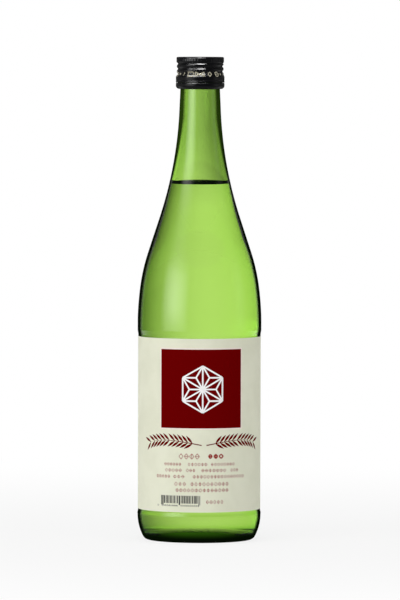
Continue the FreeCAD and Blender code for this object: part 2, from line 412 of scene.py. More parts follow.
def turned_mesh(radius, height, columns, closed_outline=False):
    """Vertices and faces of an outline turned about the Z axis.

    radius and height have a row for each point of the outline, and as many columns as there are
    angles where they change on the way round, or else one: vertex = (radius cos a, radius sin a,
    height). An outline that starts and ends on the axis gets one vertex at each pole, and a
    closed outline joins its last row to its first.
    """
    points = turned(column_angles(columns), radius, height)
    if closed_outline:
        ids = np.arange(len(points) * columns).reshape(-1, columns)
        return points.reshape(-1, 3), grid_faces(np.vstack([ids, ids[:1]]))
    rings = points[1:-1].reshape(-1, 3)
    ids = np.arange(len(rings)).reshape(-1, columns)
    poles = fan_faces(len(rings), ids[0][::-1]) + fan_faces(len(rings) + 1, ids[-1])
    return np.vstack([rings, points[0, :1], points[-1, :1]]), grid_faces(ids) + poles


def strips_mesh(strips, place, clearance):
    """Vertices and faces of flat strips of ink, each a thin closed solid.

    A strip is (path, half widths, closed). Its cross-section is a rectangle carried along the
    path: the sides lie at path +- half width * normal, the bottom a clearance above the surface,
    and the top one ink thickness above that. place(flat, lift) puts points on the surface.
    """
    vertices, faces, count = [], [], 0
    low, high = clearance, ink_thickness + clearance
    for path, half_width, closed in strips:
        if closed:
            tangent = np.roll(path, -1, axis=0) - np.roll(path, 1, axis=0)
        else:
            tangent = np.gradient(path, axis=0)
        tangent /= np.linalg.norm(tangent, axis=1)[:, None]
        side = np.column_stack([-tangent[:, 1], tangent[:, 0]])
        side *= np.broadcast_to(half_width, len(path))[:, None]
        left, right = path + side, path - side
        loop = [place(left, low), place(right, low), place(right, high), place(left, high)]
        ids = np.arange(len(path) * 4).reshape(-1, 4) + count
        rows = np.vstack([ids, ids[:1]]) if closed else ids
        faces += grid_faces(rows[:, ::-1])
        if not closed:
            faces += [ids[0].tolist(), ids[-1][::-1].tolist()]
        vertices.append(np.stack(loop, axis=1).reshape(-1, 3))
        count += ids.size
    return np.vstack(vertices), faces


# Glass

# Unit vectors, (cosine, sine), at the angles where the shoulder's arcs meet
lower_way = direction(lower_shoulder_angle)
cone_way = direction(cone_angle)
taper_way = direction(neck_taper_angle)

shoulder_drop = (
    lower_shoulder_radius * (1 - lower_way[0])
    + upper_shoulder_radius * (lower_way[0] - cone_way[0])
    + cone_height * math.tan(math.radians(cone_angle))
)
bead_top = glass_height - bead_depth
bead_bottom = bead_top - bead_height
neck_foot = bead_bottom - neck_length
neck_foot_radius = neck_radius + neck_length * math.tan(math.radians(neck_taper_angle))
flare_radius = (body_radius - shoulder_drop - neck_foot_radius) / (taper_way[0] - cone_way[0])
flare_foot = neck_foot - flare_radius * (cone_way[1] - taper_way[1])
upper_foot = flare_foot - cone_height - upper_shoulder_radius * (cone_way[1] - lower_way[1])
shoulder_foot = upper_foot - lower_shoulder_radius * lower_way[1]
panel_bottom = heel_height + lower_band_height
panel_top = shoulder_foot - upper_band_height
panel_radius = body_radius - panel_depth
heel_top_radius = body_radius - heel_inset
bore_radius = neck_radius - wall

heel_centre = np.array([heel_top_radius - heel_radius, heel_height])
corner_reach = math.sqrt(
    (heel_radius - bearing_corner_radius) ** 2 - (heel_height - bearing_corner_radius) ** 2)
corner_centre = np.array([heel_centre[0] + corner_reach, bearing_corner_radius])
corner_angle = angle_of(corner_centre - heel_centre)
bearing_inner = corner_centre[0] - bearing_width
push_up_angle = 2 * math.degrees(math.atan(push_up_height / bearing_inner))
push_up_radius = bearing_inner / math.sin(math.radians(push_up_angle)) - push_up_rim_radius
push_up_centre = np.array([0.0, push_up_height - push_up_radius])


def base_outline():
    """Push-up, its rim, the flat bearing ring, the corner and the heel's arc, from the axis out."""
    rim_centre = np.array([bearing_inner, push_up_rim_radius])
    return chain(
        arc(push_up_centre, push_up_radius, 90, 90 - push_up_angle, glass_step),
        arc(rim_centre, push_up_rim_radius, -90 - push_up_angle, -90),
        arc(corner_centre, bearing_corner_radius, -90, corner_angle),
        arc(heel_centre, heel_radius, corner_angle, 0, 1.0),
    )


def floor_outline(inset):
    """The cavity's floor and its corner, from the axis out to the heel's top.

    The corner's arc touches the floor's and the heel's, so its centre is where two circles
    about their centres cross.
    """
    floor_radius = push_up_radius + base_thickness + inset - wall
    corner_radius = floor_corner_radius - inset + wall
    to_floor = floor_radius + corner_radius
    to_heel = heel_radius - inset - corner_radius
    way = heel_centre - push_up_centre
    apart = np.linalg.norm(way)
    along = (apart ** 2 + to_floor ** 2 - to_heel ** 2) / (2 * apart)
    aside = math.sqrt(to_floor ** 2 - along ** 2)
    way /= apart
    corner = push_up_centre + way * along + np.array([way[1], -way[0]]) * aside
    floor_angle = angle_of(corner - push_up_centre)
    wall_angle = angle_of(corner - heel_centre)
    return chain(
        arc(push_up_centre, floor_radius, 90, floor_angle, glass_step),
        arc(corner, corner_radius, floor_angle - 180, wall_angle, 0.8),
        arc(heel_centre, heel_radius - inset, wall_angle, 0, 1.5),
    )


def body_outline(inset, counts=(14, 36, 22)):
    """The side from the heel to the shoulder, with a smooth step at each end of the label panel.

    The counts are its rows below the panel, on it and above it.
    """
    ends = (heel_height, panel_bottom, panel_top, shoulder_foot)
    heights = np.concatenate([
        np.linspace(low, high, count) for low, high, count in zip(ends, ends[1:], counts)])
    into_panel = smooth_step((heights - panel_bottom + lower_step_height) / lower_step_height)
    out_of_panel = smooth_step((heights - panel_top) / upper_step_height)
    radius = (heel_top_radius + (panel_radius - heel_top_radius) * into_panel
              + (body_radius - panel_radius) * out_of_panel)
    return np.column_stack([radius - inset, heights])


def shoulder_outline(inset):
    """Two convex arcs, a cone, a concave flare and the neck's taper, moved inwards by an inset."""
    lower_centre = np.array([body_radius - lower_shoulder_radius, shoulder_foot])
    upper_centre = lower_centre + (lower_shoulder_radius - upper_shoulder_radius) * lower_way
    upper_radius = upper_shoulder_radius - inset
    flare_centre = np.array([neck_foot_radius, neck_foot]) + flare_radius * taper_way
    return chain(
        arc(lower_centre, lower_shoulder_radius - inset, 0, lower_shoulder_angle, glass_step),
        arc(upper_centre, upper_radius, lower_shoulder_angle, cone_angle, glass_step),
        arc(flare_centre, flare_radius + inset, cone_angle - 180, neck_taper_angle - 180,
            glass_step),
        np.array([neck_radius, bead_bottom]) - inset * taper_way,
    )


def finish_outline():
    """Neck fillet, locking bead, land, rounded lip and mouth, from the outside in."""
    corners = rounded([
        (neck_radius + finish_lead_spread, bead_bottom - finish_lead, 0),
        (neck_radius, bead_bottom, neck_fillet_radius),
        (finish_radius, bead_bottom, bead_corner_radius),
        (finish_radius, bead_top - bead_slope_height, finish_round),
        (land_radius, bead_top, finish_round),
        (land_radius, glass_height, lip_round),
        (bore_radius, glass_height, mouth_round),
        (bore_radius, glass_height - finish_lead, 0),
    ])
    return resampled(corners[1:-1], finish_step)


def make_bottle(material):
    """The glass: one closed shell, from the push-up up the outside, over the lip and down inside.

    The thread, the mould seams and the waves of the inner wall are added to the turned radius.
    Its attribute "outside" is 1 on the outside and 0 on the inside.
    """
    outside = resampled(
        chain(base_outline(), body_outline(0), shoulder_outline(0)[:-1]), glass_step)
    finish = finish_outline()
    inside = chain(floor_outline(wall), body_outline(wall, (8, 22, 12)), shoulder_outline(wall))
    outline = chain(outside, finish, resampled(inside[::-1], 2 * glass_step))
    radius, height = np.hsplit(outline, 2)
    angles = column_angles(glass_columns)
    is_inside = np.arange(len(outline))[:, None] > len(outside) + np.argmax(finish[:, 1])

    is_land = ~is_inside & (height > bead_top) & (np.abs(radius - land_radius) < land_tolerance)
    thread = ridge_height * is_land * helix_ridge(
        angles, height, groove_front_height + thread_pitch / 2, ridge_turns, ridge_half_width)

    is_side = (height > heel_height) & (height < bead_bottom) & ~is_inside
    from_seam = from_nearest(angles, seam_count, body_radius)
    seam = seam_height * bump(from_seam / (2 * seam_width)) * is_side
    seam = np.minimum(seam, body_radius - radius)

    turn = np.radians(angles)
    tall = height / glass_height * 2 * math.pi
    fade = smooth_step((height - heel_height) / wave_fade)
    fade = fade * smooth_step((bead_bottom - height) / wave_fade) * is_inside
    wave = wave_height * fade * sum(
        share * np.sin(around * turn + up * tall + phase) for share, around, up, phase in waves)

    shape = turned_mesh(radius + thread + seam + wave, height, glass_columns)
    bottle = piece_from(
        "bottle_glass", shape, material, "bottle", "glass_bottle", sharp=60)
    rings = np.repeat(1.0 - is_inside[1:-1], glass_columns)
    outside_share = bottle.data.attributes.new("outside", "FLOAT", "POINT")
    outside_share.data.foreach_set("value", np.concatenate([rings, [1.0, 0.0]]))


def make_sake(material):
    """The liquid: the cavity's outline up to the contact line, then the meniscus to the level.

    The meniscus is an arc that is tangent to the level and ends at the contact line.
    """
    inset = wall - sake_overlap
    shoulder = shoulder_outline(inset)
    side = chain(floor_outline(inset), body_outline(inset), shoulder)
    below = side[side[:, 1] < sake_high.z]
    contact = np.array([np.interp(sake_high.z, *shoulder[:, ::-1].T), sake_high.z])
    bend_radius = (meniscus_width ** 2 + meniscus_height ** 2) / (2 * meniscus_height)
    rise_angle = math.degrees(math.asin(meniscus_width / bend_radius))
    bend_centre = (contact[0] - meniscus_width, sake_level + bend_radius)
    meniscus = arc(bend_centre, bend_radius, rise_angle - 90, -90, meniscus_step)
    level = resampled(np.array([meniscus[-1], [0, sake_level]]), glass_step)
    outline = chain(resampled(chain(below, contact), glass_step), meniscus, level)
    shape = turned_mesh(*np.hsplit(outline, 2), glass_columns)
    piece_from("sake", shape, material, "bottle", "sake_fill", sharp=40)


# Label

def on_label(flat, lift):
    """Flat points (arc length from the front, height) laid on the label, a lift above it."""
    angle = FRONT_ANGLE + np.degrees(flat[:, 0] / label_radius)
    return turned(angle, label_radius + lift, flat[:, 1])


def make_label(material):
    """The paper: a rectangle of label height by thickness, carried along the arc of the wrap."""
    half_wrap = math.pi / 2 + math.asin(label_high.y / label_radius)
    u = np.linspace(-half_wrap, half_wrap, label_columns) * label_radius
    low, high = label_low.z, label_high.z
    loop = [
        on_label(np.column_stack([u, np.full_like(u, z)]), lift)
        for z, lift in ((low, -label_thickness), (high, -label_thickness), (high, 0), (low, 0))
    ]
    ids = np.arange(len(u) * 4).reshape(-1, 4)
    faces = grid_faces(ids) + [ids[0][::-1].tolist(), ids[-1].tolist()]
    shape = np.stack(loop, axis=1).reshape(-1, 3), faces
    piece_from("label_paper", shape, material, "bottle", "front_label")


def line(start, end, width, step=1.5):
    """A straight strip of even width, with three points or more."""
    points = resampled(np.array([start, end], float), step)
    if len(points) < 3:
        points = np.linspace(points[0], points[-1], 3)
    return points, width / 2, False


def leaf(start, heading, length, width):
    """A pointed strip whose width swells as the sine of the way along it."""
    share = np.linspace(0, 1, 9)
    path = np.array(start) + share[:, None] * length * direction(heading)
    return path, width / 2 * np.sin(math.pi * np.clip(share, 0.03, 0.97)), False


def star_strips():
    """A hemp-leaf figure: six triangles round a centre, each split from its own middle."""
    centre = np.array([star_offset, star_height])
    tips = [centre + star_radius * direction(90 + 60 * i) for i in range(6)]
    strips = []
    for tip, following in zip(tips, tips[1:] + tips[:1]):
        middle = (centre + tip + following) / 3
        ends = [(tip, following), (centre, tip)]
        ends += [(middle, corner) for corner in (centre, tip, following)]
        strips += [line(start, end, star_stroke) for start, end in ends]
    return strips


def ear_strips():
    """Two ears of rice that bow outwards from the middle, their grains in pairs on the stem.

    At a share s of its length, a stem is at foot + rise * s - droop * s^3.
    """
    strips = []
    share = np.linspace(0, 1, ear_rows)
    grain_rows = ear_first_grain + np.linspace(0, ear_grain_rows, ear_grain_count)
    for side in (-1, 1):
        stem = np.column_stack([
            ear_offset + side * (ear_gap + ear_length * share),
            ear_foot + ear_rise * share - ear_droop * share ** 3,
        ])
        strips.append((stem, ear_stem_width / 2 * (1.1 - share), False))
        slope = np.gradient(stem, axis=0)
        for row in grain_rows.astype(int):
            for lean in (-ear_grain_lean, ear_grain_lean):
                heading = angle_of(slope[row]) + lean
                strips.append(leaf(stem[row], heading, ear_grain_length, ear_grain_width))
    return strips


def lozenge_row(generator, low, high, stroke, runs):
    """Runs of small print, each a row of lozenges of uneven width, some with a stroke inside."""
    strips = []
    middle = (low + high) / 2
    half = (high - low - stroke) / 2
    for left, right in runs:
        count = max(1, round((right - left) / (lozenge_pitch_share * (high - low))))
        pitch = (right - left) / count
        for number in range(count):
            centre = np.array([left + (number + 0.5) * pitch, middle])
            wide = pitch * generator.uniform(*lozenge_width_share)
            tips = [centre + tip for tip in ((wide, 0), (0, half), (-wide, 0), (0, -half))]
            ends = list(zip(tips, tips[1:] + tips[:1]))
            if generator.uniform() < lozenge_filled_share:
                across = generator.uniform() < 0.5
                reach = np.array((wide, 0) if across else (0, half)) * lozenge_inside_share
                ends.append((centre - reach, centre + reach))
            strips += [line(start, end, stroke, short_step) for start, end in ends]
    return strips


def bar_strips(generator):
    """Upright bars of uneven width and gap. The outer and middle pairs reach lower."""
    low, high, left, right = bar_box
    strips = []
    at = left
    while at < right:
        width = generator.choice(bar_widths)
        share = (at - left) / (right - left)
        is_long = share < 0.05 or share > 0.94 or abs(share - 0.5) < 0.03
        middle = at + width / 2
        foot = low - bar_reach if is_long else low
        strips.append(line((middle, foot), (middle, high), width, short_step))
        at += width + generator.choice(bar_gaps)
    return strips


def square_strip(border):
    """The label's square as one wide strip, larger by a border on each side."""
    middle = (square_bottom + square_top) / 2
    reach = square_width / 2 + border
    tall = square_top - square_bottom + 2 * border
    return line((square_offset - reach, middle), (square_offset + reach, middle), tall, 1.0)


def make_print(red, light_red, pale, white, black):
    """Everything printed on the label. Each figure lies a number of layers above the paper."""
    generator = np.random.default_rng(7)
    small_print = [strip for row in small_rows for strip in lozenge_row(generator, *row)]
    bars = bar_strips(generator) + lozenge_row(generator, *bar_figures)
    for name, strips, layers, material in (
        ("label_square_border", [square_strip(square_border)], 0.2, pale),
        ("label_red_square", [square_strip(0)], 1, red),
        ("label_star", star_strips(), 2, white),
        ("label_rice_ears", ear_strips(), 0.2, red),
        ("label_small_print", small_print, 0.2, light_red),
        ("label_bars", bars, 0.2, black),
    ):
        shape = strips_mesh(strips, on_label, layers * 2 * ink_thickness)
        piece_from(name, shape, material, "bottle")


# Cap

cap_top = shell_high.z
side_top = cap_top - cap_corner_radius
shell_edge = shell_low.z
skirt_radius = shell_high.x
knurl_foot = cap_top - knurl_band_height
skirt_top = shell_edge + skirt_height
knurl_band_radius = thread_zone_radius + knurl_band_step


def cap_radius(angle, height):
    """The cap's outer radius: skirt, thread zone and knurled band joined by smooth steps, less
    the rolled thread groove, the groove under the band, the knurl's flutes and a fine crease."""
    above_foot = height - knurl_foot
    skirt_share = 1 - smooth_step((height - skirt_top) / skirt_blend_height)
    radius = (
        thread_zone_radius
        + (skirt_radius - thread_zone_radius) * skirt_share
        + knurl_band_step * smooth_step((above_foot + knurl_band_edge) / knurl_band_edge)
    )
    groove = helix_ridge(angle, height, groove_front_height, groove_turns, groove_half_width)
    under_band = bump((above_foot + band_groove_below) / band_groove_half_width)
    crease = crease_depth * bump((height - shell_edge - crease_height) / crease_half_width)
    in_band = smooth_step((above_foot - knurl_margin) / knurl_fade)
    in_band = in_band * smooth_step((side_top - height) / knurl_fade)
    flute = (0.5 + 0.5 * np.cos(np.radians(angle) * knurl_count)) ** 3 * in_band
    rolled = groove_depth * np.maximum(groove, band_groove_share * under_band)
    return radius - rolled - knurl_depth * flute - crease


def cap_cover(inset):
    """The cap's top, from its side over the rounded corner and down into the recess, in to the
    axis, moved inwards by an inset."""
    corner = (knurl_band_radius - inset, cap_top - inset)
    recess = corner[1] - top_recess_depth
    outline = rounded([
        (corner[0], side_top, 0), (*corner, cap_corner_radius - inset),
        (top_recess_radius + 2 * top_recess_round, corner[1], top_recess_round),
        (top_recess_radius, recess, top_recess_round), (0, recess, 0),
    ])
    return outline[1:]


def make_cap(material):
    """The drawn shell: inside from the top's middle down, the lower edge, then outside up."""
    heights = np.append(np.arange(shell_edge, side_top, cap_step), side_top)[:, None]
    inner_heights = heights[::3][::-1]
    angles = column_angles(cap_columns)
    under = resampled(cap_cover(sheet)[::-1], cover_step)
    over = resampled(cap_cover(0), cover_step)
    height = np.vstack([under[:, 1:], inner_heights, heights, over[:, 1:]])
    radius = np.vstack([
        under[:, :1] + 0 * angles, cap_radius(angles, inner_heights) - sheet,
        cap_radius(angles, heights), over[:, :1] + 0 * angles,
    ])
    shape = turned_mesh(radius, height, cap_columns)
    piece_from("cap", shape, material, "cap", "cap_shell", sharp=50)


def make_tamper_ring(material):
    """The ring that stays on the neck. Its top edge rises into the small bridges."""
    ring_top = shell_edge - slit_height
    edge_foot = ring_top - ring_edge_round * math.sin(math.radians(ring_edge_turn))
    inner_radius = skirt_radius - sheet
    tuck_top = band_low.z + sheet
    body = rounded([
        (inner_radius, edge_foot, 0), (inner_radius, tuck_top, tuck_round - sheet),
        (tuck_radius, tuck_top, 0), (tuck_radius, band_low.z, 0),
        (skirt_radius, band_low.z, tuck_round), (skirt_radius, edge_foot, 0),
    ])
    edge_centre = (skirt_radius - ring_edge_round, edge_foot)
    outside_edge = arc(edge_centre, ring_edge_round, 0, ring_edge_turn, 0.1)
    inside_edge = outside_edge[::-1] - (sheet, 0)
    outline = resampled(chain(inside_edge, body, outside_edge), ring_step)
    radius, height = np.hsplit(outline, 2)
    angles = column_angles(cap_columns) - FRONT_ANGLE
    from_bridge = from_nearest(angles, bridge_count, skirt_radius)
    share = smooth_step((bridge_width / 2 + bridge_fillet / 2 - from_bridge) / bridge_fillet)
    height = height + (height >= ring_top - 1e-6) * share * slit_height
    shape = turned_mesh(radius, height, cap_columns, closed_outline=True)
    piece_from("cap_tamper_ring", shape, material, "bottle",
               "tamper_band", sharp=50)


def make_liner(material):
    """The foam disc, with a rounded edge, bulging a little into the mouth inside the lip."""
    outline = resampled(rounded([
        (0, liner_low.z - liner_bulge, 0),
        (bore_radius + liner_bulge_ends[0], liner_low.z - liner_bulge, liner_bulge_round),
        (bore_radius + liner_bulge_ends[1], liner_low.z, liner_bulge_round),
        (liner_high.x, liner_low.z, liner_round),
        (liner_high.x, liner_high.z, liner_round),
        (0, liner_high.z, 0),
    ]), liner_step)
    shape = turned_mesh(*np.hsplit(outline, 2), liner_columns)
    piece_from("cap_liner_foam", shape, material, "liner", "cap_liner", sharp=50)


def on_cap(flat, lift):
    """Flat points (arc length from the front, height) laid on the cap's outside."""
    angle = FRONT_ANGLE + np.degrees(flat[:, 0] / skirt_radius)
    return turned(angle, cap_radius(angle, flat[:, 1]) + lift, flat[:, 1])


def make_cap_print(material):
    """A row of small figures that comes three times round: dash, box, bow, lozenge, ring, spot.

    Their strokes are straight strips. The ring is a round one, radius * (cos a, sin a).
    """
    circle = turned(column_angles(24), cap_ring_radius, 0)[:, :2]
    degree = np.array([math.radians(1) * skirt_radius, 0])
    strips = []
    for start in (0.0, 120.0, 240.0):
        origin = np.array([0, shell_edge + print_height]) + start * degree
        for angle, width, step, strokes in cap_figures:
            middle = origin + angle * degree
            strips += [line(middle + one, middle + other, width, step) for one, other in strokes]
        strips.append((origin + cap_ring_angle * degree + circle, cap_ring_half_width, True))
    shape = strips_mesh(strips, on_cap, print_clearance)
    piece_from("cap_print", shape, material, "cap")


# Materials. Colours are linear red, green and blue, and heights are in metres. Facing is 0 where
# a surface is seen straight on, and 1 where it is seen edge on.

pure_white = (1.0, 1.0, 1.0)

glass_index = 1.52
glass_absorption = (0.717, 0.9075, 0.265)
glass_density = 480.0
neck_tint = (0.755, 0.79, 0.72)
neck_tint_heights = (0.206, 0.255)
base_tint = (0.945, 0.955, 0.93)
base_tint_heights = (0.024, 0.008)
stipple_heights = (0.020, 0.012)
stipple_roughness = 0.09
wet_heights = (0.2212, 0.2208)
wet_reflection = 0.1

# Where the glass's painted shade, its dark edge, starts and is full, where liquid fills it and
# where it is empty
empty_heights = (0.2232, 0.262)
filled_painted_edge = (0.60, 0.74)
empty_painted_edge = (0.26, 0.46)
filled_painted_edge_colour = (0.002, 0.005, 0.001)
empty_painted_edge_colour = (0.020, 0.046, 0.004)

# The painted shade of the underside: its top by facing, its top from within, its fade, and the
# painted gleam of light in it
under_shade_facing = (0.04, 0.45)
under_shade_tops = (0.0088, 0.0058)
under_shade_top_within = 0.0060
under_shade_fade = 0.0022
gleam_heights = (0.0022, 0.0076)
gleam_facing = (0.08, 0.5)
gleam_least = 0.15
gleam_colour = (0.026, 0.095, 0.004)
# Painted shadow on the glass behind the cap's slit, by height: it starts, is full, ends and has
# gone
slit_shadow = (0.2836, 0.2838, 0.2843, 0.2845)

sake_index = 1.345
sake_tint = (0.975, 0.975, 0.975)
sake_absorption = (0.95, 0.97, 0.80)
sake_density = 4.0
# Painted shade on the liquid's level and on the bend at its rim: its colour, and where it shows by
# facing and by height
sake_painted_edge_colour = (0.003, 0.008, 0.002)
grazing_facing = (0.45, 0.7)
level_heights = (0.2204, 0.2208)
bend_heights = (0.22105, 0.2212)

paper_colours = ((0.79, 0.80, 0.635), (0.83, 0.84, 0.675))
mottle_range = (0.35, 0.65)
lacquer_colour = (0.004, 0.004, 0.005)
# Painted sheen on the lacquer's matt share, also standing for dust: a grey that grows as the cap
# turns away from sight
dust_and_sheen_colour = (0.021, 0.021, 0.021)
dust_and_sheen_facing = (0.06, 0.32)
turned_facing = (0.35, 0.75)
plain_slopes = (0.03, 0.16)
plain_share = 0.7
knurl_heights = (0.2962, 0.2968)
foam_colour = (0.80, 0.80, 0.77)

tree = None


def start_tree(owner):
    """Empties the node tree of a material, world or light. The nodes made next go there."""
    global tree
    owner.use_nodes = True
    tree = owner.node_tree
    tree.nodes.clear()


def node(kind, inputs=None, **settings):
    """The outputs of a new node. Its inputs are sockets, which are linked, values or colours."""
    made = tree.nodes.new("ShaderNode" + kind)
    for name, value in settings.items():
        setattr(made, name, value)
    for name, value in (inputs or {}).items():
        socket = made.inputs[name]
        if isinstance(value, bpy.types.NodeSocket):
            tree.links.new(value, socket)
        else:
            socket.default_value = (*value, 1) if isinstance(value, tuple) else value
    return made.outputs


def calc(operation, first, *others):
    """The result of a Math node, or of a chain of them for more than two values."""
    for other in others or [0.0]:
        first = node("Math", {0: first, 1: other}, operation=operation)[0]
    return first


def remap(value, from_low, from_high, to_low=0.0, to_high=1.0, kind="SMOOTHSTEP"):
    """A value carried from one range to another, smoothly or linearly, and held at its ends."""
    return node("MapRange", {
        "Value": value, "From Min": from_low, "From Max": from_high,
        "To Min": to_low, "To Max": to_high}, interpolation_type=kind)["Result"]


def window(value, start, full, end, gone):
    """1 where a value is between full and end, and fading to 0 at start and at gone."""
    return calc("MULTIPLY", remap(value, start, full), remap(value, gone, end))


def mix(share, first, second):
    """The first value or colour where the share is 0, the second where it is 1."""
    kind = "RGBA" if isinstance(second, tuple) else "FLOAT"
    return node("Mix", {"Factor": share, "A": first, "B": second}, data_type=kind)["Result"]


def by_ray(level, **others):
    """A level, and others that the named kinds of ray meet in its place."""
    rays = node("LightPath")
    for kind, other in others.items():
        level = mix(rays[f"Is {kind} Ray"], level, other)
    return level


def mix_surfaces(share, first, second):
    """The first surface where the share is 0, the second where it is 1."""
    return node("MixShader", {0: share, 1: first, 2: second})[0]


def object_place():
    """Object coordinates, in metres."""
    return node("TexCoord")["Object"]


def parts_of(vector):
    """The X, Y and Z of a vector."""
    return node("SeparateXYZ", {0: vector})


def facing_share():
    """1 - cos(the angle between the surface's normal and the line of sight)."""
    return node("LayerWeight", {"Blend": 0.5})["Facing"]


def noise(place, scale, detail=4.0, roughness=0.55):
    """Uneven values about one half."""
    return node("TexNoise", {
        "Vector": place, "Scale": scale, "Detail": detail, "Roughness": roughness})["Fac"]


def relief(height, strength, distance):
    """The normal of a fine relief."""
    return node("Bump", {"Height": height, "Strength": strength, "Distance": distance})[0]


def principled(colour, roughness, inputs):
    """A surface with its colour, its roughness and more inputs."""
    return node("BsdfPrincipled", {"Base Color": colour, "Roughness": roughness, **inputs})[0]


def matt(colour, roughness=0.4):
    """A surface without gloss."""
    return principled(colour, roughness, {"Specular IOR Level": 0.0})


def clear(colour, roughness, index, reflection=1.0):
    """A see-through surface that keeps a share of its reflection."""
    return principled(colour, roughness, {
        "IOR": index, "Transmission Weight": 1.0, "Specular Tint": (reflection,) * 3})


def emission(strength):
    """A surface that gives white light."""
    return node("Emission", {"Color": pure_white, "Strength": strength})[0]


def new_material(name):
    """A material whose empty tree gets the nodes made next."""
    material = bpy.data.materials.new(name)
    start_tree(material)
    return material


def finished(material, surface, absorbed=None, density=0.0):
    """The material with its surface, and perhaps with a volume that absorbs light."""
    inputs = {"Surface": surface}
    if absorbed:
        inputs["Volume"] = node("VolumeAbsorption", {"Color": absorbed, "Density": density})[0]
    node("OutputMaterial", inputs)
    return material


def glass_material():
    """Green container glass, a little deeper in colour up the neck and in the thick base.

    The outside has painted shade where it turns away: a dark matt colour, widely on the empty neck
    and narrowly where liquid fills it, in place of the dark edge that the wall's bending of light
    gives there, and a painted shadow behind the slit under the cap. The heel is finely stippled.
    The underside has painted shade, dark but for a painted green gleam of light in its middle.
    Where it is wet, the inside hardly reflects, because liquid and glass bend light nearly alike.
    """
    material = new_material("green container glass")
    height = parts_of(object_place())["Z"]
    facing = facing_share()
    outside = node("Attribute", attribute_name="outside")["Fac"]

    tint = mix(remap(height, *neck_tint_heights, kind="LINEAR"), pure_white, neck_tint)
    tint = mix(remap(height, *base_tint_heights), tint, base_tint)
    stipple = remap(height, *stipple_heights, 0.0, stipple_roughness)
    wetted = calc("MULTIPLY", calc("SUBTRACT", 1.0, outside), remap(height, *wet_heights))
    see_through = mix_surfaces(wetted, clear(tint, stipple, glass_index),
                               clear(tint, 0.0, glass_index, wet_reflection))

    empty = remap(height, *empty_heights, kind="LINEAR")
    # Painted shade: where the outside turns away it becomes dark matt, standing in for the dark
    # edge that bent light shows
    edge = remap(facing, *(remap(empty, 0.0, 1.0, *ends, kind="LINEAR")
                           for ends in zip(filled_painted_edge, empty_painted_edge)))
    # Painted shade on the underside, with a painted green gleam of light in its middle
    under_shade_top = mix(node("NewGeometry")["Backfacing"],
                    remap(facing, *under_shade_facing, *under_shade_tops), under_shade_top_within)
    under = remap(height, under_shade_top, calc("SUBTRACT", under_shade_top, under_shade_fade))
    gleam = calc("MULTIPLY", remap(height, *gleam_heights),
                 remap(facing, *gleam_facing, 1.0, gleam_least), under)
    colour = mix(empty, filled_painted_edge_colour, empty_painted_edge_colour)
    dark = matt(mix(gleam, colour, gleam_colour))
    # Where the painted shade and painted shadow cover the outside: the dark edge, the underside and
    # the glass behind the slit
    share = calc("MAXIMUM", edge, under, window(height, *slit_shadow))
    surface = mix_surfaces(calc("MULTIPLY", share, outside), see_through, dark)
    return finished(material, surface, glass_absorption, glass_density)


def sake_material():
    """Clear liquid with a very faint straw tint.

    Its level has painted shade, a dark matt colour where it is seen edge on, and so has the bend at
    its rim.
    """
    material = new_material("sake")
    height = parts_of(object_place())["Z"]
    grazing = remap(facing_share(), *grazing_facing)
    # Painted shade where the level is seen edge on, and on the bend at its rim
    painted_edge_on = calc("MAXIMUM", remap(height, *bend_heights),
                   calc("MULTIPLY", grazing, remap(height, *level_heights)))
    liquid = clear(sake_tint, 0.0, sake_index, wet_reflection)
    surface = mix_surfaces(painted_edge_on, liquid, matt(sake_painted_edge_colour))
    return finished(material, surface, sake_absorption, sake_density)


def paper_material():
    """Cream uncoated paper with pressed fibres and faint mottling."""
    material = new_material("label paper")
    place = object_place()
    colour = mix(remap(noise(place, 60.0), *mottle_range), *paper_colours)
    fibres = relief(noise(place, 900.0, 6.0, 0.7), 0.25, 0.00005)
    return finished(material, principled(colour, 0.75, {
        "Specular IOR Level": 0.25, "Normal": fibres}))


def ink_material(name, colour, roughness=0.6, gloss=0.0, mottle=0.06):
    """Printing ink, a little uneven where the paper's tooth shows through."""
    material = new_material(name)
    tooth = remap(noise(object_place(), 1200.0, 3.0), *mottle_range)
    darker = tuple(channel * (1 - mottle) for channel in colour)
    return finished(material, principled(mix(tooth, darker, colour), roughness, {
        "Specular IOR Level": gloss}))


def lacquer_material():
    """Black lacquer on drawn aluminium: glossy where it is rolled or rounded, and matt where it
    turns away. The plain walls lie between the two, apart from the knurled band."""
    material = new_material("black lacquer")
    place = object_place()
    facing = facing_share()
    haze = remap(noise(place, 500.0, 3.0), 0.3, 0.7, 0.16, 0.24)
    gloss = principled(lacquer_colour, haze, {"Specular IOR Level": 0.45})
    # Painted sheen, also standing for dust: grey on the matt share where the cap turns away, in
    # place of its reflection
    dust_and_sheen = mix(remap(facing, *dust_and_sheen_facing), lacquer_colour, dust_and_sheen_colour)
    slope = calc("ABSOLUTE", parts_of(node("NewGeometry")["Normal"])["Z"])
    plain = calc("MULTIPLY", remap(slope, *plain_slopes, plain_share, 0.0),
                 remap(parts_of(place)["Z"], *knurl_heights, 1.0, 0.0))
    dull = calc("MAXIMUM", remap(facing, *turned_facing), plain)
    return finished(material, mix_surfaces(dull, gloss, matt(dust_and_sheen, 0.6)))


def foam_material():
    """White closed-cell foam with a fine skin."""
    material = new_material("liner foam")
    cells = node("TexVoronoi", {"Vector": object_place(), "Scale": 3500.0})["Distance"]
    return finished(material, principled(foam_colour, 0.7, {"Normal": relief(cells, 0.3, 0.0001)}))


# Stage. Levels are radiances, white being 1.

# The flag is a dark panel that only sight through glass meets. Its azimuths run from straight
# behind the object towards the right: it starts, is full, ends and has gone.
flag_azimuths = (-6.0, 52.0, 80.0, 110.0)
flag_level = 0.21
room_level = 0.05
fill_level = 0.56
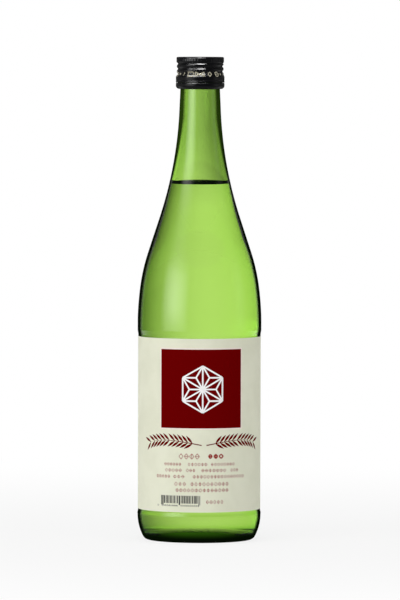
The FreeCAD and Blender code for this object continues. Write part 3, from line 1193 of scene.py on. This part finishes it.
# Strips that only reflections meet: azimuths, 0 being in front, elevations and level
reflected_strips = [
    ((-82.0, -14.0), (35.0, 50.0), 27.0),
    ((-30.0, 40.0), (50.0, 68.0), 60.0),
    ((-80.0, -18.0), (-14.0, 24.0), 0.6),
]
strip_azimuth_fade = 15.0
strip_elevation_fade = 5.0
white_behind = (0.62, 0.98)

stage_radius = 1.0
stage_rings = 12
stage_columns = 96
floor_paint = (0.9, 0.9, 0.9)
floor_glow_radii = (0.08, 0.7)
floor_least_glow = 0.82
floor_bounce = 0.76
floor_white_behind = (0.0, 0.5)

card_low = (-0.015, 0.19)
card_high = (0.6, 0.33)
card_fades = (0.06, 0.03)
card_grid = (12, 8)
card_distance = 0.25
card_level = 0.48

softbox_distance = 1.5
softbox_aim = Vector((0, 0, 0.15))


def flag_shade(place):
    """How bright glass shows a place behind the object: 1, and less where the flag hangs."""
    parts = parts_of(place)
    azimuth = calc("ARCTAN2", parts["X"], parts["Y"])
    share = window(azimuth, *np.radians(flag_azimuths))
    return remap(share, 0.0, 1.0, 1.0, flag_level, kind="LINEAR")


def strip_light(way, azimuths, elevations, level):
    """How bright reflections show a soft strip of light.

    It is the product of a soft window in elevation and one in azimuth, 0 being in front.
    """
    parts = parts_of(way)
    azimuth = calc("ARCTAN2", parts["X"], calc("MULTIPLY", parts["Y"], -1.0))
    windows = [
        window(angle, *np.radians((low, low + fade, high - fade, high)))
        for angle, (low, high), fade in (
            (azimuth, azimuths, strip_azimuth_fade),
            (calc("ARCSINE", parts["Z"]), elevations, strip_elevation_fade))]
    return calc("MULTIPLY", *windows, level)


def make_world():
    """White backdrop, a dim room in front, and a level that only lights the object.

    Straight sight meets white, and so does sight through glass, apart from the flag. Reflections
    meet the white behind the object, the dim room elsewhere, and the strips of light.
    """
    world = bpy.data.worlds.new("white surround")
    bpy.context.scene.world = world
    start_tree(world)
    way = node("TexCoord")["Generated"]
    reflected = remap(parts_of(way)["Y"], *white_behind, room_level, 1.0)
    reflected = calc("ADD", reflected, *(strip_light(way, *strip) for strip in reflected_strips))
    level = by_ray(fill_level, Glossy=reflected, Transmission=flag_shade(way), Camera=1.0)
    node("OutputWorld", {
        "Surface": node("Background", {"Color": pure_white, "Strength": level})[0]})


def make_floor():
    """A round pale floor, rings by columns, that fades into the white surround at its rim.

    Its glow is white for straight sight, and less for the light that it throws on the object.
    Reflections show it dim in front and white behind, and glass shows the flag's shade on it.
    """
    material = new_material("pale floor")
    place = object_place()
    away = node("VectorMath", {0: place}, operation="LENGTH")["Value"]
    glow = remap(away, *floor_glow_radii, floor_least_glow, 1.0)
    reflected = remap(parts_of(place)["Y"], *floor_white_behind, 2 * room_level, 1.0)
    level = by_ray(
        1.0, Diffuse=floor_bounce, Glossy=reflected, Transmission=flag_shade(place))
    paint = node("BsdfDiffuse", {"Color": floor_paint})[0]
    finished(material, mix_surfaces(glow, paint, emission(level)))

    radius = np.linspace(stage_radius, 0, stage_rings)[:-1, None]
    rings = turned(column_angles(stage_columns), radius, 0)
    ids = np.arange(radius.size * stage_columns).reshape(-1, stage_columns)
    vertices = np.vstack([rings.reshape(-1, 3), [[0, 0, 0]]])
    faces = grid_faces(ids) + fan_faces(ids.size, ids[-1])
    floor = mesh_object("floor", vertices, faces, material)


def make_neck_card():
    """A grey card behind the neck's right side, met only by sight through glass.

    It is a grid of columns by rows. Its tone is the product of soft windows along and up.
    """
    material = new_material("grey card")
    parts = parts_of(object_place())
    (low_x, low_z), high_z, (fade_x, fade_z) = card_low, card_high[1], card_fades
    tone = calc("MULTIPLY", remap(parts["X"], low_x, low_x + fade_x),
                window(parts["Z"], low_z, low_z + fade_z, high_z - fade_z, high_z))
    share = by_ray(0.0, Transmission=tone)
    nothing = node("BsdfTransparent", {"Color": pure_white})[0]
    finished(material, mix_surfaces(share, nothing, emission(card_level)))

    x, z = np.meshgrid(*map(np.linspace, card_low, card_high, card_grid))
    vertices = np.column_stack([x.ravel(), np.full(x.size, card_distance), z.ravel()])
    faces = grid_faces(np.arange(x.size).reshape(x.shape), close_columns=False)
    card = mesh_object("neck card", vertices, faces, material)


def add_softbox(name, azimuth, elevation, width, tall, level, foot=0.0, rise=0.5, fall=0.5):
    """A rectangular light that looks at the bottle's middle and fades towards its edges.

    Azimuth 0 is in front of the label, and 90 is on its right. The level is its radiance where
    it is brightest. Of its height, the share called foot is dark, the next one, rise, grows
    brighter, and the last one, fall, fades.
    """
    light = bpy.data.lights.new(name, "AREA")
    light.shape = "RECTANGLE"
    light.size = width
    light.size_y = tall
    light.energy = width * tall * math.pi
    start_tree(light)
    parts = parts_of(node("NewGeometry")["Parametric"])
    across = window(parts["X"], 0.0, 0.5, 0.5, 1.0)
    up = window(parts["Y"], foot, foot + rise, 1.0 - fall, 1.0)
    node("OutputLight", {"Surface": emission(calc("MULTIPLY", across, up, level))})
    box = add_to_scene(name, light)
    around, up = math.radians(azimuth), math.radians(elevation)
    way = Vector((math.sin(around) * math.cos(up), -math.cos(around) * math.cos(up), math.sin(up)))
    box.location = softbox_aim + way * softbox_distance
    box.rotation_euler = way.to_track_quat("Z", "Y").to_euler()


def make_camera():
    """The camera looks at a point near the bottle's middle, from a little above."""
    data = bpy.data.cameras.new("camera")
    data.lens = camera_lens
    data.sensor_width = 36.0
    data.clip_end = 100.0
    camera = add_to_scene("camera", data)
    camera.location = (camera_aim.x, -camera_distance, camera_height)
    look = (camera_aim - camera.location).to_track_quat("-Z", "Y")
    roll = Quaternion((0, 0, 1), math.radians(camera_roll))
    camera.rotation_euler = (look @ roll).to_euler()
    bpy.context.scene.camera = camera


def main():
    """The camera, the surround and its lights, and then the pieces from the bottle to the cap."""
    make_camera()
    bpy.context.scene.view_settings.view_transform = "Standard"
    make_world()
    make_floor()
    make_neck_card()
    add_softbox("key softbox", azimuth=-49, elevation=14, width=1.8, tall=1.5, level=3.3,
                foot=0.10, rise=0.26, fall=0.64)
    add_softbox("top softbox", azimuth=3, elevation=48, width=0.36, tall=0.30, level=22.0)
    add_softbox("right fill", azimuth=82, elevation=8, width=1.1, tall=1.2, level=0.4)

    make_bottle(glass_material())
    make_sake(sake_material())
    make_label(paper_material())
    make_print(
        red=ink_material("dark red ink", (0.150, 0.0004, 0.0008)),
        light_red=ink_material("light red ink", (0.34, 0.05, 0.04)),
        pale=ink_material("pale pink ink", (1.0, 0.86, 0.79)),
        white=ink_material("white ink", (1.0, 1.0, 1.0), mottle=0.03),
        black=ink_material("grey black ink", (0.03, 0.03, 0.035)),
    )
    lacquer = lacquer_material()
    make_cap(lacquer)
    make_cap_print(ink_material("pale gold ink", (0.54, 0.51, 0.385), roughness=0.35, gloss=0.1))
    make_tamper_ring(lacquer)
    make_liner(foam_material())


main()
